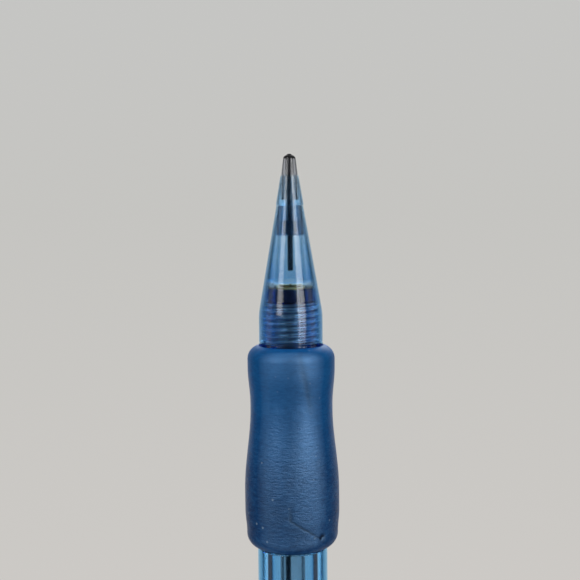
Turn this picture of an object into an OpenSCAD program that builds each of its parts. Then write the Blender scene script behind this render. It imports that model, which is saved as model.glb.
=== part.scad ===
// Mechanical pencil with a clear screw-on cone, a soft waisted grip and a push button at the rear.
// Millimetres. +Z runs along the pencil to the writing tip. The origin is the centre of the flat
// rear end of the eraser cap. The pocket clip is on the +X side.

/* [Whole pencil] */
// length from the rear face of the eraser cap to the point of the lead
overall_length = 145; // [140:1:152]
// diameter of the writing lead
lead_d = 0.7; // [0.5, 0.7]
// outside diameter of the barrel behind the grip
barrel_d = 9.2; // [9.0:0.1:9.6]
// bore of the barrel
barrel_bore_d = 5.5; // [5.4:0.1:6.2]

/* [Cone] */
// distance from the lead's point to the seam where the cone meets the front piece
seam_from_tip = 6.66; // [6.4:0.02:6.9]
// distance from the lead's point to the rear lip of the cone
cone_lip_from_tip = 24.4; // [24.2:0.1:24.4]
// diameter of the cone at the seam
cone_front_d = 3.48; // [3.3:0.02:3.6]
// diameter of the cone at its rear lip
cone_rear_d = 8.3; // [8.2:0.05:8.5]

/* [Screw thread between cone and barrel] */
// rise of the thread in one turn
thread_pitch = 0.8; // [0.8:0.1:1.0]
// mean radius of the thread on the barrel
thread_mean_r = 2.75; // [2.72:0.01:2.8]
// half the depth of the thread
thread_throw = 0.15; // [0.1:0.01:0.16]
// gap between the two threads, measured on the radius
thread_gap = 0.1; // [0.06:0.01:0.12]

/* [Grip] */
// distance from the lead's point to the front face of the grip
grip_front_from_tip = 24.7; // [24.7:0.05:24.9]
// length of the grip
grip_length = 26.6; // [25.5:0.1:28]
// diameter of the front shoulder of the grip
grip_shoulder_d = 11.38; // [11.0:0.02:11.8]
// diameter of the waist of the grip
grip_waist_d = 10.76; // [10.2:0.02:11.0]
// diameter of the rear bulge of the grip
grip_bulge_d = 12.4; // [11.8:0.1:13]

/* [Push button] */
// how far the button goes in
press_travel = 3.0; // [2.4:0.1:3.0]
// outside diameter of the eraser cap
cap_d = 6.8; // [6.6:0.1:7.2]
// length of the eraser cap
cap_length = 12; // [11:0.5:12.5]

/* [Clip] */
// distance from the rear end of the pencil to the free end of the clip
clip_end_z = 60; // [52:1:66]
// width of the clip
clip_width = 3.6; // [3.0:0.2:4.2]

/* [Hidden] */
$fn = 96;

// gap left on the radius round a part that is pushed home and stays there
fixed_gap = 0.02;
// gap left between two end faces that touch in the real pencil
face_gap = 0.02;
// small extra length that carries a cut through a face
through = 0.1;
// length by which a thread runs on into the solid or the opening behind it
thread_overlap = 0.3;

lead_r = lead_d / 2;
barrel_r = barrel_d / 2;
barrel_bore_r = barrel_bore_d / 2;
lead_guide_r = lead_r + 0.05;

// heights of the front end, counted back from the lead's point
tip_z = overall_length;
lead_rear_z = tip_z - 15.25;
sleeve_front_z = tip_z - 0.18;
sleeve_seat_z = tip_z - 2.85;
sleeve_rear_z = tip_z - 6.0;
seam_z = tip_z - seam_from_tip;
stem_rear_z = tip_z - 10.6;
retainer_front_z = tip_z - 8.7;
retainer_rear_z = tip_z - 10.55;
cone_bore_step_z = tip_z - 12.95;
cone_shoulder_z = tip_z - 16.6;
cone_thread_top_z = tip_z - 19.3;
cone_lip_z = tip_z - cone_lip_from_tip;

// heights of the clutch and of the nose of the barrel
chuck_front_z = tip_z - 17.0;
ring_front_z = tip_z - 17.3;
clutch_sleeve_front_z = tip_z - 17.5;
ring_rear_z = tip_z - 19.1;
clutch_flange_rear_z = tip_z - 19.3;
barrel_nose_z = clutch_flange_rear_z - face_gap;
barrel_thread_top_z = tip_z - 19.6;
spring_front_z = tip_z - 23.4;
chuck_slot_end_z = tip_z - 25.2;
collar_front_z = cone_lip_z - 0.05;
grip_front_z = tip_z - grip_front_from_tip;
collar_rear_z = grip_front_z - 0.2;
barrel_bore_front_z = tip_z - 28.5;
clutch_sleeve_rear_z = tip_z - 32.5;
spring_rear_z = tip_z - 38;
connector_flange_front_z = tip_z - 40.5;
chuck_rear_z = tip_z - 41.5;
connector_flange_rear_z = tip_z - 42;
connector_rear_z = tip_z - 47;
grip_rear_z = grip_front_z - grip_length;
barrel_shoulder_z = grip_rear_z - 0.1;

// heights of the rear end, counted from the flat face of the cap
collar_top_z = 34;
// the rear collar stays this far from the cap when the button is fully in
press_clearance = 1.2;
rear_collar_rear_z = cap_length + press_travel + press_clearance;
barrel_rear_z = rear_collar_rear_z + 0.8;
button_front_z = 24;
tube_rear_z = 14;
eraser_seat_z = 13;
button_rear_z = 4.5;
ferrule_rear_z = 6;
eraser_rear_z = 2.3;
cap_end_wall = 1;

// radii of the front end
stem_r = 1.42;
sleeve_shank_r = 0.8;
retainer_r = 0.6;
cone_front_bore_r = stem_r + fixed_gap;
cone_bore_r = 1.62;
cone_clutch_bore_r = 2.7;

// radii of the clutch and the nose of the barrel
ring_outer_r = 1.95;
ring_bore_r = 1.21;
ring_seat_r = 1.47;
chuck_head_r = 1.46;
chuck_head_rear_r = 1.18;
chuck_neck_r = 0.9;
chuck_shank_r = 1.15;
chuck_bore_r = lead_r + 0.07;
chuck_slot_width = 0.26;
clutch_flange_r = 2.6;
clutch_body_r = 2.1;
clutch_ring_pocket_r = 2;
clutch_guide_r = 1.28;
spring_pocket_r = 1.75;
spring_coil_r = 1.42;
spring_wire_r = 0.16;
barrel_pilot_r = 2.45;

// round bead at the root of the clip, on which the arm swings when it is lifted
clip_pivot_x = 6;
clip_pivot_z = 20.3;
clip_bead_r = 0.75;

// radii of the tube, the button and the rear end
tube_outer_r = 1.65;
tube_bore_r = 1.25;
connector_collar_r = 1.7;
connector_throat_r = 0.5;
connector_flange_r = barrel_bore_r - 0.1;
grip_seat_r = 4;
nose_collar_r = 4.2;
barrel_tail_r = 4;
rear_collar_r = 4.9;
button_r = barrel_bore_r - 0.1;
button_lead_hole_r = 0.5;
eraser_socket_r = 2.35;
ferrule_outer_r = eraser_socket_r - fixed_gap;
ferrule_wall = 0.2;
eraser_r = ferrule_outer_r - ferrule_wall - fixed_gap;
cap_r = cap_d / 2;
cap_bore_r = button_r + 0.03;
cap_edge_r = 0.5;

// the node that is drawn, or all of them

// points of an arc about centre [cx, cy] from angle a0 to a1
function arc(cx, cy, r, a0, a1, steps) = [
    for (i = [0:steps])
        let (a = a0 + (a1 - a0) * i / steps)
        [cx + r * cos(a), cy + r * sin(a)]
];

// points of a half-cosine blend from [r0, z0] to [r1, z1], both ends parallel to the axis
function blend(r0, z0, r1, z1, steps) = [
    for (i = [0:steps])
        let (t = i / steps)
        [r0 + (r1 - r0) * (1 - cos(180 * t)) / 2, z0 + (z1 - z0) * t]
];

// upright hollow cylinder between two heights
module tube_between(z0, z1, outer_r, bore_r) {
    difference() {
        translate([0, 0, z0]) cylinder(h = z1 - z0, r = outer_r);
        translate([0, 0, z0 - through]) cylinder(h = z1 - z0 + 2 * through, r = bore_r);
    }
}

// bore cut between two heights
module bore_between(z0, z1, r) {
    translate([0, 0, z0]) cylinder(h = z1 - z0, r = r);
}

// conical bore cut between two heights
module cone_between(z0, z1, r0, r1) {
    translate([0, 0, z0]) cylinder(h = z1 - z0, r1 = r0, r2 = r1);
}

// rod whose round section is carried round the axis once per pitch: a rounded right-hand thread
module thread_rod(z0, z1, mean_r, throw, pitch) {
    sides = 28;
    slices_per_turn = 12;
    slices = ceil((z1 - z0) / pitch * slices_per_turn);
    points = [
        for (i = [0:slices])
            let (z = z0 + (z1 - z0) * i / slices)
            let (turn = 360 * (tip_z - z) / -pitch)
            for (j = [0:sides - 1])
                let (a = 360 * j / sides)
                [throw * cos(turn) + mean_r * cos(a), throw * sin(turn) + mean_r * sin(a), z]
    ];
    side_faces = [
        for (i = [0:slices - 1])
            for (j = [0:sides - 1])
                let (k = (j + 1) % sides)
                let (low = i * sides)
                let (high = low + sides)
                each [[low + j, high + j, high + k], [low + j, high + k, low + k]]
    ];
    bottom_face = [for (j = [0:sides - 1]) j];
    top_face = [for (j = [0:sides - 1]) slices * sides + sides - 1 - j];
    polyhedron(points = points, faces = concat([bottom_face], side_faces, [top_face]));
}

// graphite lead with a rounded, worn point
module lead() {
    color([0.12, 0.12, 0.13])
        rotate_extrude()
            polygon(concat(
                [[0, lead_rear_z], [lead_r, lead_rear_z]],
                arc(0.1, tip_z - (lead_r - 0.1), lead_r - 0.1, 0, 90, 6),
                [[0, tip_z]]
            ));
}

// smoky clear sleeve the lead comes out of, with a shank that is pushed into the front piece
module tip_sleeve() {
    front_r = 0.83;
    rear_r = 1.07;
    edge_r = 0.43;
    color([0.55, 0.57, 0.6, 0.6])
        difference() {
            rotate_extrude()
                polygon(concat(
                    [[0, sleeve_rear_z], [sleeve_shank_r, sleeve_rear_z],
                     [sleeve_shank_r, sleeve_seat_z + face_gap], [rear_r, sleeve_seat_z + face_gap]],
                    arc(front_r - edge_r, sleeve_front_z - edge_r, edge_r, 5, 90, 8),
                    [[0, sleeve_front_z]]
                ));
            bore_between(sleeve_rear_z - through, sleeve_front_z + through, lead_r + 0.03);
        }
}

// blue front piece: short cone in front, stem behind that is pushed into the main cone
module nose_tip() {
    front_r = 1.18;
    rear_r = 1.8;
    rim_h = 0.12;
    color([0.25, 0.5, 0.75, 0.6])
        difference() {
            rotate_extrude()
                polygon([
                    [0, stem_rear_z], [stem_r - 0.1, stem_rear_z], [stem_r, stem_rear_z + 0.1],
                    [stem_r, seam_z + face_gap], [rear_r - 0.06, seam_z + face_gap],
                    [rear_r, seam_z + rim_h], [front_r, sleeve_seat_z - 0.06],
                    [front_r - 0.06, sleeve_seat_z], [0, sleeve_seat_z]
                ]);
            bore_between(sleeve_rear_z - face_gap, sleeve_seat_z + through, sleeve_shank_r + fixed_gap);
            bore_between(stem_rear_z - through, sleeve_seat_z, lead_guide_r);
            bore_between(stem_rear_z - through, retainer_front_z + face_gap, retainer_r + fixed_gap);
        }
}

// rubber ring that holds the lead by friction
module lead_retainer() {
    edge = 0.12;
    color([0.1, 0.1, 0.11])
        difference() {
            rotate_extrude()
                polygon([
                    [0, retainer_rear_z], [retainer_r - edge, retainer_rear_z],
                    [retainer_r, retainer_rear_z + edge], [retainer_r, retainer_front_z - edge],
                    [retainer_r - edge, retainer_front_z], [0, retainer_front_z]
                ]);
            bore_between(retainer_rear_z - through, retainer_front_z + through, lead_r + 0.01);
        }
}

// main clear cone: stem bore, chuck room, shoulder that stops the clutch ring, threaded skirt
module nose_cone() {
    front_r = cone_front_d / 2;
    rear_r = cone_rear_d / 2;
    skirt_z = tip_z - 20.9;
    slope_end_z = tip_z - 19.7;
    slope_end_r = rear_r - 0.15;
    edge = 0.12;
    color([0.45, 0.66, 0.85, 0.45])
        difference() {
            rotate_extrude()
                polygon([
                    [0, cone_lip_z], [rear_r - edge, cone_lip_z], [rear_r, cone_lip_z + edge],
                    [rear_r, skirt_z], [rear_r - 0.035, skirt_z + 0.5], [slope_end_r, slope_end_z],
                    [front_r, seam_z], [0, seam_z]
                ]);
            bore_between(cone_bore_step_z - through, seam_z + through, cone_front_bore_r);
            bore_between(cone_shoulder_z - through, cone_bore_step_z, cone_bore_r);
            bore_between(cone_thread_top_z, cone_shoulder_z, cone_clutch_bore_r);
            thread_rod(cone_lip_z - thread_overlap, cone_thread_top_z + through,
                thread_mean_r + thread_gap, thread_throw, thread_pitch);
        }
}

// brass ring that closes the jaws of the chuck
module clutch_ring() {
    seat_end_z = ring_front_z - 1.3;
    color([0.85, 0.68, 0.35])
        difference() {
            tube_between(ring_rear_z, ring_front_z, ring_outer_r, ring_bore_r);
            cone_between(seat_end_z, ring_front_z, ring_bore_r, ring_seat_r);
            bore_between(ring_front_z, ring_front_z + through, ring_seat_r);
        }
}

// brass chuck: three jaws with a conical head, a thin neck and a shank
module chuck() {
    neck_z = chuck_front_z - 1.8;
    shank_z = chuck_slot_end_z - 0.8;
    funnel_r = 0.95;
    funnel_h = 1;
    color([0.78, 0.6, 0.3])
        difference() {
            rotate_extrude()
                polygon([
                    [chuck_bore_r, chuck_rear_z], [chuck_shank_r, chuck_rear_z],
                    [chuck_shank_r, shank_z], [chuck_neck_r, shank_z + 0.4],
                    [chuck_neck_r, neck_z], [chuck_head_rear_r, neck_z + 0.2],
                    [chuck_head_r, chuck_front_z - 0.15], [chuck_head_r - 0.16, chuck_front_z],
                    [chuck_bore_r, chuck_front_z]
                ]);
            for (turn = [30, 150, 270])
                rotate([0, 0, turn])
                    translate([0, -chuck_slot_width / 2, chuck_slot_end_z])
                        cube([2 * chuck_head_r, chuck_slot_width,
                            chuck_front_z - chuck_slot_end_z + through]);
            cone_between(chuck_rear_z - through, chuck_rear_z + funnel_h, funnel_r, chuck_bore_r);
        }
}

// dark blue sleeve in the nose of the barrel: seat of the clutch ring and front seat of the spring
module clutch_sleeve() {
    color([0.1, 0.18, 0.4])
        difference() {
            union() {
                bore_between(clutch_flange_rear_z, clutch_sleeve_front_z, clutch_flange_r);
                bore_between(clutch_sleeve_rear_z, clutch_sleeve_front_z - 0.3, clutch_body_r);
            }
            bore_between(ring_rear_z - 0.05, clutch_sleeve_front_z + through, clutch_ring_pocket_r);
            bore_between(spring_front_z - through, clutch_sleeve_front_z, clutch_guide_r);
            bore_between(clutch_sleeve_rear_z - through, spring_front_z, spring_pocket_r);
        }
}

// coil spring round the shank of the chuck, with closed end turns
module chuck_spring() {
    sides = 6;
    steps_per_turn = 16;
    open_turns = 9;
    closed_turns = 1;
    turns = open_turns + 2 * closed_turns;
    steps = turns * steps_per_turn;
    low_z = spring_rear_z + face_gap + spring_wire_r;
    high_z = spring_front_z - face_gap - spring_wire_r;
    closed_rise = 2.1 * spring_wire_r;
    open_rise = (high_z - low_z - 2 * closed_turns * closed_rise) / open_turns;
    function rise(turn) =
        min(turn, closed_turns) * closed_rise
        + max(0, min(turn - closed_turns, open_turns)) * open_rise
        + max(0, turn - closed_turns - open_turns) * closed_rise;
    points = [
        for (i = [0:steps])
            let (turn = i / steps_per_turn)
            let (a = 360 * turn)
            for (j = [0:sides - 1])
                let (w = 360 * j / sides)
                let (r = spring_coil_r + spring_wire_r * cos(w))
                [r * cos(a), r * sin(a), low_z + rise(turn) + spring_wire_r * sin(w)]
    ];
    side_faces = [
        for (i = [0:steps - 1])
            for (j = [0:sides - 1])
                let (k = (j + 1) % sides)
                let (near = i * sides)
                let (far = near + sides)
                each [[near + j, near + k, far + k], [near + j, far + k, far + j]]
    ];
    start_face = [for (j = [0:sides - 1]) sides - 1 - j];
    end_face = [for (j = [0:sides - 1]) steps * sides + j];
    color([0.75, 0.76, 0.78])
        polyhedron(points = points, faces = concat([start_face], side_faces, [end_face]));
}

// plastic connector between chuck and lead tube, with the flange that guides it in the barrel
module tube_connector() {
    throat_z = chuck_rear_z - 1.5;
    funnel_r = 1.05;
    color([0.85, 0.87, 0.9])
        difference() {
            union() {
                bore_between(connector_flange_rear_z, spring_rear_z, connector_collar_r);
                bore_between(connector_flange_rear_z, connector_flange_front_z, connector_flange_r);
                bore_between(connector_rear_z, connector_flange_rear_z + 0.5, tube_bore_r - fixed_gap);
            }
            bore_between(chuck_rear_z - face_gap, spring_rear_z + through, chuck_shank_r + fixed_gap);
            bore_between(throat_z - through, chuck_rear_z, connector_throat_r);
            cone_between(connector_rear_z - through, throat_z, funnel_r, connector_throat_r);
        }
}

// tube that stores the spare lead and carries the push of the button to the chuck
module lead_tube() {
    color([0.7, 0.75, 0.82, 0.6])
        tube_between(tube_rear_z, connector_flange_rear_z - face_gap, tube_outer_r, tube_bore_r);
}

// one spare lead lying against the wall of the tube
module spare_lead() {
    spare_length = 60;
    spare_front_z = connector_rear_z - 1;
    // the lead lies this far off the axis of the tube
    spare_offset = 0.6;
    color([0.12, 0.12, 0.13])
        translate([-spare_offset, 0, spare_front_z - spare_length])
            cylinder(h = spare_length, r = lead_r);
}

// clear barrel: threaded nose, collar, seat for the grip, body, thinner tail under the rear collar
module barrel() {
    edge = 0.12;
    color([0.35, 0.62, 0.88, 0.45])
        difference() {
            union() {
                bore_between(barrel_thread_top_z - thread_overlap, barrel_nose_z, barrel_pilot_r);
                thread_rod(collar_front_z - thread_overlap, barrel_thread_top_z, thread_mean_r,
                    thread_throw, thread_pitch);
                rotate_extrude()
                    polygon([
                        [0, barrel_rear_z], [barrel_tail_r, barrel_rear_z],
                        [barrel_tail_r, collar_top_z], [barrel_r - edge, collar_top_z],
                        [barrel_r, collar_top_z + edge], [barrel_r, barrel_shoulder_z - edge],
                        [barrel_r - edge, barrel_shoulder_z], [grip_seat_r, barrel_shoulder_z],
                        [grip_seat_r, collar_rear_z], [nose_collar_r, collar_rear_z],
                        [nose_collar_r, collar_front_z - edge], [nose_collar_r - edge, collar_front_z],
                        [0, collar_front_z]
                    ]);
            }
            bore_between(barrel_bore_front_z - through, barrel_nose_z + through, clutch_body_r + fixed_gap);
            bore_between(barrel_rear_z - through, barrel_bore_front_z, barrel_bore_r);
        }
}

// soft rubber grip: round front shoulder, waist, rear bulge, rounded rear edge
module grip() {
    shoulder_r = grip_shoulder_d / 2;
    waist_r = grip_waist_d / 2;
    bulge_r = grip_bulge_d / 2;
    front_edge_r = 1.8;
    rear_edge_r = 1.8;
    rear_side_r = bulge_r - 0.2;
    bore_r = grip_seat_r + fixed_gap;
    lip_r = nose_collar_r + fixed_gap;
    lip_z = collar_rear_z - fixed_gap;
    front_edge_z = grip_front_z - front_edge_r;
    rear_edge_z = grip_rear_z + rear_edge_r;
    // angle at which the front edge meets the opening
    lip_angle = acos((lip_r - (shoulder_r - front_edge_r)) / front_edge_r);
    color([0.15, 0.3, 0.52])
        rotate_extrude()
            polygon(concat(
                [[bore_r, grip_rear_z]],
                arc(rear_side_r - rear_edge_r, rear_edge_z, rear_edge_r, -90, 0, 10),
                blend(rear_side_r, rear_edge_z + 0.05, bulge_r, grip_rear_z + 4.9, 6),
                blend(bulge_r, grip_rear_z + 7.5, waist_r, grip_front_z - 8.3, 16),
                blend(waist_r, grip_front_z - 7.7, shoulder_r, front_edge_z - 1.1, 10),
                arc(shoulder_r - front_edge_r, front_edge_z, front_edge_r, 0, lip_angle, 10),
                [[lip_r, lip_z], [bore_r, lip_z]]
            ));
}

// collar pressed on the tail of the barrel, with the socket of the clip on its +X side
module rear_collar() {
    edge = 0.3;
    socket_inner_x = 4.2;
    socket_outer_x = 7.6;
    socket_half_y = 2.2;
    socket_top_z = 25.5;
    socket_bottom_z = 18.4;
    socket_width = 2.8;
    neck_half = 0.68;
    // mouth of the socket, a little wider than its neck so that the arm can swing outwards
    mouth_inner = 0.8;
    mouth_outer = 1;
    mouth_rise = 1;
    color([0.08, 0.16, 0.36])
        difference() {
            union() {
                rotate_extrude()
                    polygon([
                        [0, rear_collar_rear_z], [rear_collar_r - edge, rear_collar_rear_z],
                        [rear_collar_r, rear_collar_rear_z + edge],
                        [rear_collar_r, collar_top_z - edge], [rear_collar_r - edge, collar_top_z - 0.05],
                        [0, collar_top_z - 0.05]
                    ]);
                intersection() {
                    bore_between(socket_bottom_z, socket_top_z, socket_outer_x);
                    translate([socket_inner_x, -socket_half_y, socket_bottom_z - through])
                        cube([socket_outer_x, 2 * socket_half_y,
                            socket_top_z - socket_bottom_z + 2 * through]);
                }
            }
            translate([clip_pivot_x, 0, clip_pivot_z])
                rotate([90, 0, 0])
                    cylinder(h = socket_width, r = clip_bead_r + 0.05, center = true);
            translate([clip_pivot_x - neck_half, -socket_width / 2, clip_pivot_z])
                cube([2 * neck_half, socket_width, socket_top_z - clip_pivot_z + through]);
            translate([clip_pivot_x - mouth_inner, -socket_width / 2, clip_pivot_z + mouth_rise])
                cube([mouth_inner + mouth_outer, socket_width, socket_top_z - clip_pivot_z]);
            bore_between(barrel_rear_z - face_gap, collar_top_z + through, barrel_tail_r + fixed_gap);
            bore_between(rear_collar_rear_z - through, barrel_rear_z, barrel_bore_r + 0.05);
        }
}

// pocket clip: tongue in the collar's socket, straight arm, rounded foot that rests near the barrel
module clip() {
    inner_x = clip_pivot_x - 0.6;
    outer_x = clip_pivot_x + 0.6;
    tongue_top_z = 26.2;
    tongue_width = 2.5;
    foot_r = 1.6;
    foot_gap = 0.05;
    foot_x = barrel_r + foot_gap + foot_r;
    foot_z = clip_end_z - 4.5;
    end_r = (outer_x - inner_x) / 2;
    color([0.08, 0.16, 0.36]) {
        translate([clip_pivot_x, 0, clip_pivot_z])
            rotate([90, 0, 0])
                cylinder(h = tongue_width, r = clip_bead_r, center = true);
        translate([inner_x, -tongue_width / 2, clip_pivot_z])
            cube([outer_x - inner_x, tongue_width, tongue_top_z - clip_pivot_z]);
        rotate([90, 0, 0])
            linear_extrude(height = clip_width, center = true)
                difference() {
                    union() {
                        translate([inner_x, tongue_top_z - 0.3])
                            square([outer_x - inner_x, clip_end_z - end_r - tongue_top_z + 0.3]);
                        translate([(inner_x + outer_x) / 2, clip_end_z - end_r]) circle(r = end_r);
                        translate([foot_x, foot_z]) circle(r = foot_r);
                    }
                    translate([outer_x, foot_z - foot_r - through])
                        square([2 * foot_r, 2 * (foot_r + through)]);
                }
    }
}

// push button: skirt over the end of the lead tube, socket for the eraser at its rear end
module push_button() {
    edge = 0.2;
    color([0.9, 0.92, 0.95])
        difference() {
            rotate_extrude()
                polygon([
                    [0, button_rear_z], [button_r - edge, button_rear_z],
                    [button_r, button_rear_z + edge], [button_r, button_front_z - edge],
                    [button_r - edge, button_front_z], [0, button_front_z]
                ]);
            bore_between(tube_rear_z - face_gap, button_front_z + through, tube_outer_r + fixed_gap);
            bore_between(button_rear_z - through, eraser_seat_z, eraser_socket_r);
            bore_between(eraser_seat_z - through, tube_rear_z, button_lead_hole_r);
        }
}

// thin metal band round the front half of the eraser
module eraser_ferrule() {
    color([0.8, 0.81, 0.83])
        tube_between(ferrule_rear_z, eraser_seat_z - face_gap, ferrule_outer_r,
            ferrule_outer_r - ferrule_wall);
}

// white eraser with a rounded rear end
module eraser() {
    edge_r = 0.6;
    color([0.95, 0.95, 0.93])
        rotate_extrude()
            polygon(concat(
                [[0, eraser_rear_z]],
                arc(eraser_r - edge_r, eraser_rear_z + edge_r, edge_r, -90, 0, 8),
                [[eraser_r, eraser_seat_z - 2 * face_gap], [0, eraser_seat_z - 2 * face_gap]]
            ));
}

// cap that covers the eraser and is pushed to click the pencil
module eraser_cap() {
    color([0.3, 0.55, 0.82, 0.6])
        difference() {
            rotate_extrude()
                polygon(concat(
                    [[0, 0]],
                    arc(cap_r - cap_edge_r, cap_edge_r, cap_edge_r, -90, 0, 8),
                    [[cap_r, cap_length - 0.15], [cap_r - 0.15, cap_length], [0, cap_length]]
                ));
            bore_between(cap_end_wall, cap_length + through, cap_bore_r);
        }
}

lead();
tip_sleeve();
nose_tip();
lead_retainer();
nose_cone();
clutch_ring();
chuck();
clutch_sleeve();
chuck_spring();
tube_connector();
lead_tube();
spare_lead();
barrel();
grip();
rear_collar();
clip();
push_button();
eraser_ferrule();
eraser();
eraser_cap();
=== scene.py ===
import math

import bmesh
import bpy
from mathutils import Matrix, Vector, noise


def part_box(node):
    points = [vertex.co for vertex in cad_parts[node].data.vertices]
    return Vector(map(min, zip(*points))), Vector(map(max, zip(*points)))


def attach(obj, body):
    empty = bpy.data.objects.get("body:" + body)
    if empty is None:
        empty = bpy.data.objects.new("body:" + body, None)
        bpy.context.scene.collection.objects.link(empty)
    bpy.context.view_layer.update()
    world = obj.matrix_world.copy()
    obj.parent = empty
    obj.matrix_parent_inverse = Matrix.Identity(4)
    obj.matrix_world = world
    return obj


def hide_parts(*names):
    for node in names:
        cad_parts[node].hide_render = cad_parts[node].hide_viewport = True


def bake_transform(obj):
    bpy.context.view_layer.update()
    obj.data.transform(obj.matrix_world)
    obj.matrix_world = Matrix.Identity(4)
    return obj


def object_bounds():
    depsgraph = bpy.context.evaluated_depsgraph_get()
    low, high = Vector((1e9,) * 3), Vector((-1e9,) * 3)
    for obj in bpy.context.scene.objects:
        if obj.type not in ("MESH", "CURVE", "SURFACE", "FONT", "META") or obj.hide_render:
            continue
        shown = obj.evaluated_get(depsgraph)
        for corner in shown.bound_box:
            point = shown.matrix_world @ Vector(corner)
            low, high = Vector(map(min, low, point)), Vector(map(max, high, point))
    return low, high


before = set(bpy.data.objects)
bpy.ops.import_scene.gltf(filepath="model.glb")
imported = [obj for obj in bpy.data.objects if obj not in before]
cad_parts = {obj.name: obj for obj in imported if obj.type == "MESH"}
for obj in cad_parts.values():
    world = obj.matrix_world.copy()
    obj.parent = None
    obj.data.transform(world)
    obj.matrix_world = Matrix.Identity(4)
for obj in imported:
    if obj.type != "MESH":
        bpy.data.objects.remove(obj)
cad_low, cad_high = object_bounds()

MM = 0.001


# ---------------------------------------------------------------- heights and radii, in millimetres

def node_span(node):
    """Lowest and highest point of a CAD node along the pencil."""
    low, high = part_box(node)
    return low[2] / MM, high[2] / MM


def node_radius(node):
    """Radius of a round CAD node."""
    low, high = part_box(node)
    return (high[1] - low[1]) / 2 / MM


lead_low, tip_top = node_span("lead")
sleeve_low, sleeve_top = node_span("tip_sleeve")
nose_tip_low, nose_tip_top = node_span("nose_tip")
retainer_low, retainer_top = node_span("lead_retainer")
cone_low, cone_top = node_span("nose_cone")
ring_low, ring_top = node_span("clutch_ring")
clutch_low, clutch_top = node_span("clutch_sleeve")
spring_low, spring_top = node_span("chuck_spring")
connector_low, connector_top = node_span("tube_connector")
tube_low, tube_top = node_span("lead_tube")
spare_low, spare_top = node_span("spare_lead")
barrel_low, barrel_top = node_span("barrel")
grip_low, grip_top = node_span("grip")
rear_collar_top = node_span("rear_collar")[1]
button_low, button_top = node_span("push_button")
ferrule_low, ferrule_top = node_span("eraser_ferrule")
eraser_low, eraser_top = node_span("eraser")
cap_low, cap_top = node_span("eraser_cap")

PUSH_GAP = 0.02  # gap round a piece that is pushed home, and between end faces that touch

LEAD_R = node_radius("lead")
SLEEVE_SHANK_R = 0.8
STEM_R = 1.42  # rear stem of the front piece, which sits in the cone
RETAINER_R = 0.6
CLUTCH_BODY_R = 2.1
TUBE_R = 1.65
TUBE_BORE_R = 1.25
BUTTON_R = node_radius("push_button")
BARREL_R = node_radius("barrel")
BARREL_BORE_R = BUTTON_R + 0.1
GRIP_SEAT_R = 4.0  # the barrel under the grip, and its tail in the rear collar
COLLAR_R = 4.2  # the barrel's front collar, which the cone closes against

# the screw thread between cone and barrel: a round section carried round the axis
THREAD_R = 2.75
THREAD_THROW = 0.15
THREAD_GAP = 0.1
THREAD_PITCH = 0.8
THREAD_FADE = 0.35  # height over which the thread runs out at each end

# how fully a zone of a clear piece takes its material's zone values, its painted shade tint among them
THREAD_ZONE = 1.0
CONE_BORE_ZONE = 0.3
BARREL_BORE_ZONE = 0.4

RING = 128  # vertices round a large turned piece
SMALL_RING = 96


# ---------------------------------------------------------------- outlines

def rounded(points, steps=5, support=0.03):
    """Rounds the corners of a section. Each point is (radius, height) or (radius, height, fillet)."""
    out = []
    count = len(points)
    for i, point in enumerate(points):
        here = Vector(point[:2])
        fillet = point[2] if len(point) > 2 else 0.0
        if fillet <= 0:
            out.append(tuple(here))
            continue
        before = Vector(points[i - 1][:2]) - here
        after = Vector(points[(i + 1) % count][:2]) - here
        turn = math.pi - before.angle(after)
        if turn < 0.01:
            out.append(tuple(here))
            continue
        reach = fillet * math.tan(turn / 2)
        room = 0.45 * min(before.length, after.length)
        if reach > room:
            fillet *= room / reach
            reach = room
        a = before.normalized()
        b = after.normalized()
        centre = here + (a + b).normalized() * (fillet / math.cos(turn / 2))
        start = here + a * reach - centre
        end = here + b * reach - centre
        sweep = math.atan2(start.x * end.y - start.y * end.x, start.dot(end))
        out.append(tuple(here + a * (reach + min(support, before.length * 0.04))))
        for k in range(steps + 1):
            t = sweep * k / steps
            out.append((centre.x + start.x * math.cos(t) - start.y * math.sin(t),
                        centre.y + start.x * math.sin(t) + start.y * math.cos(t)))
        out.append(tuple(here + b * (reach + min(support, after.length * 0.04))))
    return out


def arc(centre_r, centre_z, reach_r, reach_z, start, end, steps):
    """Section points along an elliptical arc, from one angle in degrees to another."""
    angles = [math.radians(start + (end - start) * i / steps) for i in range(steps + 1)]
    return [(centre_r + reach_r * math.cos(a), centre_z + reach_z * math.sin(a)) for a in angles]


def sway(r0, z0, r1, z1, steps):
    """Section points along a half-cosine curve, parallel to the axis at both ends."""
    return [(r0 + (r1 - r0) * (1 - math.cos(math.pi * i / steps)) / 2, z0 + (z1 - z0) * i / steps)
            for i in range(steps + 1)]


def tube_section(outer_r, bore_r, low, high, outer_fillet, bore_fillet):
    return rounded([(outer_r, low, outer_fillet), (outer_r, high, outer_fillet),
                    (bore_r, high, bore_fillet), (bore_r, low, bore_fillet)])


def thread_rows(z0, z1, radius, rows_per_turn=28):
    """Section points down a threaded stretch."""
    rows = max(2, int(abs(z1 - z0) / THREAD_PITCH * rows_per_turn))
    return [(radius, z0 + (z1 - z0) * i / rows) for i in range(rows + 1)]


# ---------------------------------------------------------------- mesh helpers

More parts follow.
